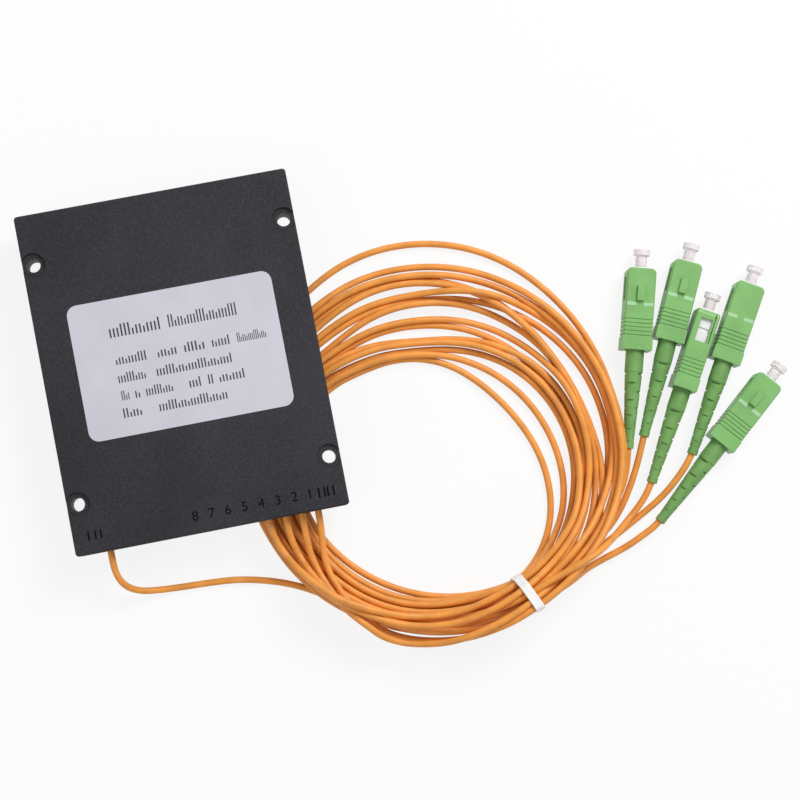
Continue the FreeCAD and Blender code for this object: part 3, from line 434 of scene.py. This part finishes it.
def plug_point(plug, ahead, left=0.0, up=0.0):
    """A point given from a plug's front: along its axis, to its left and above the axis."""
    x, y, heading, height = PLUGS[plug]
    turn = math.radians(heading)
    forward = np.array([math.cos(turn), math.sin(turn), 0.0])
    sideways = np.array([-math.sin(turn), math.cos(turn), 0.0])
    return np.array([x, y, TABLE + height + up]) + forward * ahead + sideways * left


def tail_points(cord):
    """The cord from the tie out of the coil's edge and into its boot: a curve that leaves the
    tie along the bundle and meets the first listed point in the direction of the second."""
    listed = np.array(TAILS[cord])
    start = ring_point(np.array([TIE_ANGLE]), np.array([column_radius(CORD_NAMES.index(cord))]))[0]
    end = listed[0, :2]
    reach = np.linalg.norm(end - start)
    turn = math.radians(TIE_ANGLE + 90)
    leave = np.array([math.cos(turn), math.sin(turn)]) * reach
    arrive = listed[1, :2] - end
    arrive = arrive / np.linalg.norm(arrive) * reach
    curve = between(TAIL_SHARES, start, leave, end, arrive)
    plug = PLUG_OF[cord]
    inside, outside = plug_point(plug, INSIDE_BOOT), plug_point(plug, PAST_BOOT)
    flat = np.vstack([curve, listed[:, :2], outside[None, :2], inside[None, :2]])
    heights = np.concatenate([np.zeros(len(curve)), listed[:, 2],
                              [outside[2] - TABLE, inside[2] - TABLE]])
    return flat, heights


def along(values):
    """Values at points, spread evenly along the lines between them."""
    places = np.arange((len(values) - 1) * FINE + 1) / FINE
    return np.stack([np.interp(places, np.arange(len(values)), column)
                     for column in np.atleast_2d(values.T)], -1)


def cord_places(column, cord):
    """The places along one cord, the heights asked of them, and the points at which its lead,
    its turns and its tail start and end."""
    first_layer = 0 if cord == "in" else TURNS - 1
    lead, lead_heights = lead_points(cord)
    tail, tail_heights = tail_points(cord)
    turns = [turn_points(column, abs(first_layer - turn)) for turn in range(TURNS)]
    pieces = [lead, turns[0]] + [turn[1:] for turn in turns[1:]] + [tail]
    counts = np.cumsum([len(piece) for piece in pieces])
    flat = np.vstack(pieces)
    asked = np.zeros(len(flat))
    asked[:len(lead)] = lead_heights
    asked[-len(tail):] = tail_heights
    edges = [0, counts[0], *(counts[1:-1] - 1), len(flat) - 1]
    return along(flat), along(asked)[:, 0], edges


def laying_level(cord, column, part):
    """When a stretch is laid, lowest first: the input cord from its lead up to its tail, the
    output cords from their tails back to their leads, which lie over everything."""
    lead, tail = part == 0, part == TURNS + 1
    if cord == "in":
        return -1 if lead else 9 if tail else part
    return 10 - column * 0.1 if lead else 1 if tail else TURNS + 1 - part


class Bundle:
    """What is laid so far: where each place lies, its height, its column and its index."""

    def __init__(self):
        self.flat, self.height = np.zeros((0, 2)), np.zeros(0)
        self.column, self.index = np.zeros(0, int), np.zeros(0, int)

    def add(self, flat, height, column, index):
        """Lay more places of one cord."""
        self.flat = np.vstack([self.flat, flat])
        self.height = np.append(self.height, height)
        self.column = np.append(self.column, np.full(len(index), column))
        self.index = np.append(self.index, index)

    def rest_height(self, flat, column, index, radius):
        """The height at which places rest on what is laid: one diameter from each place, so as
        much higher as the side-by-side distance leaves."""
        if not len(self.flat):
            return np.zeros(len(flat))
        gap = np.linalg.norm(flat[:, None] - self.flat[None], axis=2)
        own = self.column[None] == column
        close = own & (np.abs(self.index[None] - index[:, None]) < OWN_REACH)
        higher = self.height[None] + np.sqrt(np.maximum(0, 4 * radius ** 2 - gap ** 2))
        return np.where((gap < radius * 2) & ~close, higher, 0).max(1)


def stiffened(heights):
    """The highest within a short reach, averaged over the same reach."""
    reach = FINE // 2
    windows = np.lib.stride_tricks.sliding_window_view
    highest = windows(np.pad(heights, reach, mode="edge"), 2 * reach + 1).max(1)
    return windows(np.pad(highest, reach, mode="edge"), 2 * reach + 1).mean(1)


def lay_stretch(bundle, column, indices, flat, asked, rest):
    """Lay one stretch on the bundle a few places at a time, then let it take the shape of a
    stiff cord, which stays under the box where it passes there."""
    radius = sizes().cord_diameter / 2
    for chunk in np.array_split(indices, max(1, len(indices) // LAID_AT_ONCE)):
        spots = flat[chunk]
        near_tie = np.exp(-(np.linalg.norm(spots - tie_place(), axis=1) / TIE_REACH) ** 2)
        low = np.maximum(radius + TIE_LIFT * near_tie, asked[chunk])
        low = np.maximum(low, bundle.rest_height(spots, column, chunk, radius))
        rest[chunk] = low
        bundle.add(spots, low, column, chunk)
    known = np.flatnonzero(~np.isnan(rest))
    smooth = stiffened(rest[known])
    under_box = ((flat[known][:, 0] < BOX_HIGH.x + radius)
                 & (flat[known][:, 1] > BOX_LOW.y - radius) & (known > PORT_REACH))
    box_floor = BOX_LOW.z - TABLE - radius * BOX_ROOM
    smooth = np.where(under_box, np.minimum(smooth, box_floor), smooth)
    update = np.isin(known, indices)
    rest[known[update]] = smooth[update]
    bundle.height[-len(indices):] = rest[indices]


def laid_routes():
    """The points of every cord with the heights that they come to rest at.

    The cords are laid one stretch after another, each on the table or on the cords below it.
    The first and last two points of a cord keep the heights asked of them."""
    flats, asked, order = {}, {}, []
    for column, cord in enumerate(CORD_NAMES):
        flats[cord], asked[cord], edges = cord_places(column, cord)
        for part, (first, last) in enumerate(zip(edges, edges[1:])):
            indices = np.arange(first * FINE, last * FINE + 1)
            if cord != "in":
                indices = indices[::-1]
            order.append((laying_level(cord, column, part), column, part, indices))
    order.sort(key=lambda row: row[:3])
    bundle = Bundle()
    settled = {cord: np.full(len(flat), np.nan) for cord, flat in flats.items()}
    for _, column, _, indices in order:
        cord = CORD_NAMES[column]
        lay_stretch(bundle, column, indices, flats[cord], asked[cord], settled[cord])
    routes = {}
    for cord, flat in flats.items():
        height, given = settled[cord][::FINE], asked[cord][::FINE]
        height[:2], height[-2:] = given[:2], given[-2:]
        routes[cord] = np.column_stack([flat[::FINE], height + TABLE])
    return routes


def smooth_line(route):
    """Points along the curve that the spline makes of a route: one quadratic piece for every
    three points, from the middle of one side to the middle of the next."""
    u = np.linspace(0, 1, 12, endpoint=False)[:, None, None]
    before, here, after = route[:-2], route[1:-1], route[2:]
    points = 0.5 * (1 - u) ** 2 * before + (0.5 + u - u ** 2) * here + 0.5 * u ** 2 * after
    return points.transpose(1, 0, 2).reshape(-1, 3)


def make_tie(routes, material):
    """The band drawn tight round every cord that passes the tie.

    A band under tension takes the outline of the bundle: in each direction across it, the
    farthest cord decides, and the band touches it there and runs straight to the next."""
    turn = math.radians(TIE_ANGLE)
    across = np.array([math.cos(turn), math.sin(turn), 0.0])
    ahead = np.array([-math.sin(turn), math.cos(turn), 0.0])
    middle = np.append(tie_place(), TABLE)
    offsets = np.vstack([smooth_line(route) for route in routes.values()]) - middle
    near = ((np.abs(offsets @ ahead) < sizes().tie_width * 0.6)
            & (np.abs(offsets @ across) < TIE_HALF_SPAN))
    strands = np.stack([offsets[near] @ across, offsets[near][:, 2]], -1)
    angles = np.linspace(0, 2 * math.pi, TIE_FACETS, endpoint=False)
    facing = np.stack([np.cos(angles), np.sin(angles)], -1)
    touched = strands[(strands @ facing.T).argmax(0)]
    inner = sizes().cord_diameter / 2 + TIE_SLACK
    half, outer = sizes().tie_width / 2, inner + TIE_THICKNESS
    section = [(-half, inner), (-half, outer - TIE_ROUNDING), (-half + TIE_ROUNDING, outer),
               (half - TIE_ROUNDING, outer), (half, outer - TIE_ROUNDING), (half, inner)]
    rows = []
    for along_bundle, reach in section:
        ring = touched + facing * reach
        rows.append(middle + ahead * along_bundle + across * ring[:, :1]
                    + np.array([0.0, 0.0, 1.0]) * ring[:, 1:])
    points = np.vstack(rows)
    band = mesh_piece("tie_strap", points, ring_faces(len(section), len(angles)), material,
                      "splitter")
    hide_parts("tie_band")


def cord_material():
    """Orange jacket: soft gloss, faint waves, and a little light let through."""
    return surface("orange_jacket", tuple(colours().cord), "SatinMoulding", 5 * MM, 0.02 * MM,
                   (0.36, 0.5), contrast=0.10, Subsurface_Weight=0.05,
                   Subsurface_Radius=(1.0, 0.35, 0.10), Subsurface_Scale=0.9 * MM,
                   Specular_IOR_Level=0.35)


def make_cord(cord, route, material):
    """One cord as a single open spline with the route's points, from its port to its plug."""
    data = bpy.data.curves.new(f"cord_{cord}", "CURVE")
    data.dimensions = "3D"
    data.resolution_u = 6
    data.bevel_depth = sizes().cord_diameter / 2
    data.bevel_resolution = 5
    spline = data.splines.new("NURBS")
    spline.points.add(len(route) - 1)
    spline.points.foreach_set("co", np.column_stack([route, np.ones(len(route))]).ravel())
    spline.order_u = 3
    spline.use_endpoint_u = True
    data.materials.append(material)
    piece = bpy.data.objects.new(f"cord_{cord}", data)
    bpy.context.scene.collection.objects.link(piece)
    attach(piece, "splitter")
    plug = PLUG_OF[cord]
    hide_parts(f"lead_{cord}", f"tail_{plug}", "cable_coil")
    return piece


# ---------------------------------------------------------------- operators

class SPLITTER_OT_cords(bpy.types.Operator):
    """Lay the five cords in one coil, lead each into its plug and tie the bundle."""
    bl_idname = "splitter.cords"
    bl_label = "Cords and tie"

    def execute(self, context):
        jacket = cord_material()
        routes = laid_routes()
        for cord, route in routes.items():
            make_cord(cord, route, jacket)
        nylon = surface("white_nylon", tuple(colours().tie), "SatinMoulding", 3 * MM, 0.01 * MM,
                        (0.3, 0.42), contrast=0.04, rounding=0.1 * MM, Subsurface_Weight=0.2,
                        Subsurface_Radius=(1.0, 0.9, 0.8), Subsurface_Scale=0.6 * MM)
        make_tie(routes, nylon)
        return {"FINISHED"}


class SPLITTER_OT_box(bpy.types.Operator):
    """Give the box, its label and what it holds their finishes."""
    bl_idname = "splitter.box"
    bl_label = "Box and label"

    def execute(self, context):
        shell = surface("charcoal_shell", tuple(colours().box), "PebbleGrain", sizes().grain_size,
                        0.08 * MM, (0.44, 0.68), contrast=0.4, rounding=0.25 * MM,
                        Specular_IOR_Level=0.35)
        film = surface("silver_film", tuple(colours().label), "SatinMoulding", 9 * MM, 0.004 * MM,
                       (0.34, 0.42), contrast=0.03)
        steel = surface("module_steel", (0.55, 0.55, 0.57), "SatinMoulding", 2 * MM, 0.01 * MM,
                        (0.25, 0.4), contrast=0.06, Metallic=1.0)
        sleeve = surface("sleeve_metal", (0.70, 0.70, 0.72), "SatinMoulding", 2 * MM, 0.01 * MM,
                         (0.3, 0.45), contrast=0.06, Metallic=1.0)
        fibre = surface("fibre_coating", (0.85, 0.85, 0.90), "SatinMoulding", 1 * MM, 0.005 * MM,
                        (0.3, 0.4), contrast=0.04)
        for name, material in (("base_shell", shell), ("top_cover", shell), ("label", film),
                               ("splitter_module", steel), ("anchor_sleeves", sleeve),
                               ("inner_fibres", fibre)):
            dress_node(name, material)
        return {"FINISHED"}


class SPLITTER_OT_plugs(bpy.types.Operator):
    """Give every piece of the five plugs its finish."""
    bl_idname = "splitter.plugs"
    bl_label = "Plugs"

    def execute(self, context):
        finishes = {
            "outer_housing": surface("green_housing", tuple(colours().housing), "SatinMoulding",
                                     7 * MM, 0.012 * MM, (0.34, 0.5), contrast=0.07,
                                     rounding=0.15 * MM, Specular_IOR_Level=0.45),
            "boot": surface("green_boot", tuple(colours().boot), "SatinMoulding", 4 * MM,
                            0.02 * MM, (0.45, 0.62), contrast=0.12, rounding=0.12 * MM),
            "plug_frame": surface("white_frame", (0.80, 0.80, 0.80), "SatinMoulding", 4 * MM,
                                  0.01 * MM, (0.3, 0.45), contrast=0.04, rounding=0.1 * MM),
            "ferrule": surface("ceramic", (0.86, 0.85, 0.82), "SatinMoulding", 3 * MM, 0.002 * MM,
                               (0.12, 0.2), contrast=0.02),
            "spring": surface("spring_steel", (0.55, 0.55, 0.56), "SatinMoulding", 1 * MM,
                              0.004 * MM, (0.2, 0.35), contrast=0.05, Metallic=1.0),
            "stop_ring": surface("nickel", (0.62, 0.58, 0.52), "SatinMoulding", 2 * MM,
                                 0.004 * MM, (0.18, 0.3), contrast=0.05, Metallic=1.0),
            "dust_cap": surface("clear_cap", tuple(colours().cap), "SatinMoulding", 3 * MM,
                                0.01 * MM, (0.50, 0.60), contrast=0.03, rounding=0.1 * MM,
                                Transmission_Weight=0.35, IOR=1.4),
        }
        finishes["crimp_sleeve"] = finishes["stop_ring"]
        for plug in PLUGS:
            for kind, material in finishes.items():
                dress_node(f"{kind}_{plug}", material)
        return {"FINISHED"}


# ---------------------------------------------------------------- print and moulded marks

# The label's rows of plain marks, in millimetres from the box's middle: where each group of
# marks starts and ends, the height of its foot, the marks' height and how many it holds
LABEL_ROWS = [
    (-19.2, -3.9, 10.2, 3.7, 7), (-1.9, 18.5, 10.2, 3.7, 11),
    (-18.8, -9.5, 2.2, 2.8, 5), (-6.6, -0.6, 2.2, 2.8, 3), (1.2, 7.6, 2.2, 2.8, 3),
    (9.4, 14.9, 2.2, 2.8, 3), (16.9, 25.6, 2.2, 2.8, 8),
    (-19.0, -10.6, -3.1, 2.8, 5), (-7.8, 14.6, -3.1, 2.8, 12),
    (-18.9, -16.4, -8.2, 2.8, 2), (-15.0, -13.2, -8.2, 2.8, 1), (-11.8, -3.6, -8.2, 2.8, 5),
    (0.8, 4.6, -8.2, 2.8, 2), (6.4, 8.2, -8.2, 2.8, 1), (9.6, 17.4, -8.2, 2.8, 4),
    (-19.4, -13.6, -13.3, 2.8, 3), (-8.9, 11.4, -13.3, 2.8, 11),
]
# The plain marks: evenly spaced upright strokes, as shares of a mark's width and height
MARKS = [
    [(0.14, 0.0, 0.36, 0.72), (0.64, 0.0, 0.86, 0.72)],
    [(0.14, 0.0, 0.36, 1.0), (0.64, 0.0, 0.86, 1.0)],
    [(0.14, 0.0, 0.36, 0.72), (0.64, 0.0, 0.86, 0.50)],
    [(0.14, 0.0, 0.36, 0.72), (0.64, 0.0, 0.86, 1.0)],
    [(0.14, 0.0, 0.36, 0.50), (0.64, 0.0, 0.86, 0.72)],
]
# The digit of each output port and its place along the box, in millimetres
PORT_DIGITS = [(8, -4.4), (7, 0.4), (6, 5.2), (5, 10.1), (4, 15.0), (3, 19.8), (2, 24.7),
               (1, 29.2)]
DIGIT_FOOT, DIGIT_HEIGHT = -46.2 * MM, 2.9 * MM
FONT_SHARE = 0.73  # a digit's height against its font's size
# Plain bars beside the ports: their left edges, foot, head and width in millimetres
PLAIN_BARS = [((31.6, 33.3, 34.2, 35.9), -46.6, -43.7, 0.5),
              ((-35.6, -33.6, -32.0), -46.1, -43.4, 0.45)]
# The stripes on a housing, counted from its front and from its middle line
STRIPED_PLUGS = (1, 2, 4, 5)
STRIPES = np.array([(-11.4, 1.05, -10.4, 3.95), (-11.4, -3.95, -10.4, -1.05)]) * MM
HOUSING_TOP = 3.55 * MM


def label_strokes():
    """Every stroke of the label's rows; which mark comes next follows a fixed round."""
    strokes = []
    place = 0
    for start, end, foot, height, count in LABEL_ROWS:
        width = (end - start) / count
        for index in range(count):
            left = start + index * width
            for x0, y0, x1, y1 in MARKS[place * 3 % len(MARKS)]:
                strokes.append((left + x0 * width, foot + y0 * height,
                                left + x1 * width, foot + y1 * height))
            place += 1
    return np.array(strokes) * MM


def make_digit(text, x, y, height, level, material):
    """One flat digit cut out as a thin mesh on top of the box."""
    curve = bpy.data.curves.new("digit", "FONT")
    curve.body = text
    curve.size = height / FONT_SHARE
    curve.align_x = "CENTER"
    curve.extrude = sizes().print_height
    holder = bpy.data.objects.new("digit", curve)
    bpy.context.scene.collection.objects.link(holder)
    bpy.context.view_layer.update()
    data = bpy.data.meshes.new_from_object(holder.evaluated_get(
        bpy.context.evaluated_depsgraph_get()))
    bpy.data.objects.remove(holder)
    data.transform(Matrix.Translation((x, y, level)))
    data.materials.clear()
    data.materials.append(material)
    piece = bpy.data.objects.new(f"port_digit_{text}", data)
    bpy.context.scene.collection.objects.link(piece)
    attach(piece, "splitter")


class SPLITTER_OT_print(bpy.types.Operator):
    """Print the label, number the ports and stripe the housings."""
    bl_idname = "splitter.print"
    bl_label = "Print and marks"

    def execute(self, context):
        step = sizes().print_height
        ink = surface("ink", tuple(colours().ink), "SatinMoulding", 2 * MM, 0.002 * MM,
                      (0.4, 0.5), contrast=0.15)
        dark = surface("port_marks", tuple(colours().marks), "SatinMoulding", 2 * MM, 0.004 * MM,
                       (0.75, 0.9), contrast=0.15, Specular_IOR_Level=0.1)
        pale = surface("housing_stripe", tuple(colours().stripe), "SatinMoulding", 2 * MM,
                       0.002 * MM, (0.35, 0.5), contrast=0.05)
        points, faces = slabs(label_strokes(), LABEL_HIGH.z, LABEL_HIGH.z + step)
        mesh_piece("label_print", points, faces, ink, "splitter")
        for digit, x in PORT_DIGITS:
            make_digit(str(digit), x * MM, DIGIT_FOOT, DIGIT_HEIGHT, BOX_HIGH.z, dark)
        bars = [(left, foot, left + width, head)
                for lefts, foot, head, width in PLAIN_BARS for left in lefts]
        points, faces = slabs(np.array(bars) * MM, BOX_HIGH.z, BOX_HIGH.z + step)
        mesh_piece("port_marks", points, faces, dark, "splitter")
        points, faces = slabs(STRIPES, HOUSING_TOP, HOUSING_TOP + step)
        for plug in STRIPED_PLUGS:
            placed = np.array([plug_point(plug, *point) for point in points])
            mesh_piece(f"stripe_{plug}", placed, faces, pale, f"housing_{plug}")
        return {"FINISHED"}


# ---------------------------------------------------------------- stage

CAMERA_PLACE = Vector((20.50, -56.22, 584.42)) * MM
LOOKS_ALONG = Vector((0.06802, 0.05690, -0.99606))
PICTURE_UP = Vector((0.18769, 0.97982, 0.06879))
LENS, SENSOR = 90.0, 36.0
# Each soft lamp: its place, its side and its power in watts
LAMPS_AIM = Vector((0.06, -0.02, 0.0))
LAMPS = {"key": (Vector((0.60, 0.45, 0.70)), 0.45, 7.6),
         "fill": (Vector((-0.6, -0.3, 0.7)), 0.7, 1.8)}
FLOOR_HALF = 3.0
FLOOR_WHITE = 0.86
WORLD_STRENGTH = 0.42  # what lies beyond the floor; a clear cap sees plain white there
BACKDROP_SHARE = 0.85  # how much of the floor is plain white where the camera sees it


def floor_material():
    """Diffuse white for the light and the shadow, mixed with plain white where it is seen
    straight, in a reflection or through a clear cap."""
    made = bpy.data.materials.new("studio_floor")
    made.use_nodes = True
    made.node_tree.nodes.clear()
    tree = Tree(made.node_tree)
    seen = tree.add("ShaderNodeLightPath")
    any_ray = tree.maths("MAXIMUM", seen.outputs["Is Camera Ray"], seen.outputs["Is Glossy Ray"])
    any_ray = tree.maths("MAXIMUM", any_ray, seen.outputs["Is Transmission Ray"])
    matte = tree.add("ShaderNodeBsdfDiffuse", {"Color": (FLOOR_WHITE, FLOOR_WHITE, FLOOR_WHITE, 1)})
    glow = tree.add("ShaderNodeEmission", {"Color": (1, 1, 1, 1), "Strength": 1.0})
    mixed = tree.add("ShaderNodeMixShader", {0: tree.maths("MULTIPLY", any_ray, BACKDROP_SHARE),
                                             1: matte.outputs[0], 2: glow.outputs[0]})
    tree.add("ShaderNodeOutputMaterial", {"Surface": mixed.outputs[0]})
    return made


def add_lamp(name, place, size, power):
    """A square soft lamp aimed at the object."""
    data = bpy.data.lights.new(name, "AREA")
    data.shape = "SQUARE"
    data.size = size
    data.energy = power
    lamp = bpy.data.objects.new(name, data)
    lamp.location = place
    lamp.rotation_mode = "QUATERNION"
    lamp.rotation_quaternion = (LAMPS_AIM - place).to_track_quat("-Z", "Y")
    bpy.context.scene.collection.objects.link(lamp)


class SPLITTER_OT_stage(bpy.types.Operator):
    """Set the pale floor, the soft light and the camera."""
    bl_idname = "splitter.stage"
    bl_label = "Stage"

    def execute(self, context):
        scene = bpy.context.scene
        scene.view_settings.view_transform = "Standard"
        corners = np.array([(-1, -1, 0), (1, -1, 0), (1, 1, 0), (-1, 1, 0)]) * FLOOR_HALF
        data = bpy.data.meshes.new("studio_floor")
        data.from_pydata([(x, y, TABLE) for x, y, _ in corners.tolist()], [], [(0, 1, 2, 3)])
        data.materials.append(floor_material())
        floor = bpy.data.objects.new("studio_floor", data)
        scene.collection.objects.link(floor)
        world = bpy.data.worlds.new("studio")
        world.use_nodes = True
        tree = Tree(world.node_tree)
        seen = tree.add("ShaderNodeLightPath").outputs["Is Transmission Ray"]
        strength = tree.maths("MAXIMUM", seen, WORLD_STRENGTH)
        sky = world.node_tree.nodes["Background"]
        tree.put(sky, "Color", (1, 1, 1, 1))
        tree.put(sky, "Strength", strength)
        scene.world = world
        for name, lamp in LAMPS.items():
            add_lamp(name, *lamp)
        data = bpy.data.cameras.new("camera")
        data.lens = LENS
        data.sensor_width = SENSOR
        data.clip_start = 0.01
        camera = bpy.data.objects.new("camera", data)
        back = -LOOKS_ALONG.normalized()
        right = PICTURE_UP.cross(back).normalized()
        turn = Matrix((right, back.cross(right), back)).transposed()
        camera.matrix_world = Matrix.Translation(CAMERA_PLACE) @ turn.to_4x4()
        scene.collection.objects.link(camera)
        scene.camera = camera
        return {"FINISHED"}


class SPLITTER_PT_panel(bpy.types.Panel):
    """Lists the steps and the sizes and colours that they use."""
    bl_idname = "SPLITTER_PT_panel"
    bl_label = "Fibre splitter"
    bl_space_type = "VIEW_3D"
    bl_region_type = "UI"
    bl_category = "Splitter"

    def draw(self, context):
        for step in STEPS:
            self.layout.operator(step.bl_idname)
        for settings in (context.scene.splitter_sizes, context.scene.splitter_colours):
            for name in settings.__annotations__:
                self.layout.prop(settings, name)


STEPS = (SPLITTER_OT_cords, SPLITTER_OT_box, SPLITTER_OT_plugs, SPLITTER_OT_print,
         SPLITTER_OT_stage)
CLASSES = (SplitterSizes, SplitterColours, *STEPS, SPLITTER_PT_panel)


def register():
    for item in CLASSES:
        bpy.utils.register_class(item)
    bpy.types.Scene.splitter_sizes = bpy.props.PointerProperty(type=SplitterSizes)
    bpy.types.Scene.splitter_colours = bpy.props.PointerProperty(type=SplitterColours)


def unregister():
    del bpy.types.Scene.splitter_sizes
    del bpy.types.Scene.splitter_colours
    for item in reversed(CLASSES):
        bpy.utils.unregister_class(item)


def main():
    """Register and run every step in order."""
    register()
    for step in STEPS:
        section, name = step.bl_idname.split(".")
        getattr(getattr(bpy.ops, section), name)()


if __name__ == "__main__":
    main()
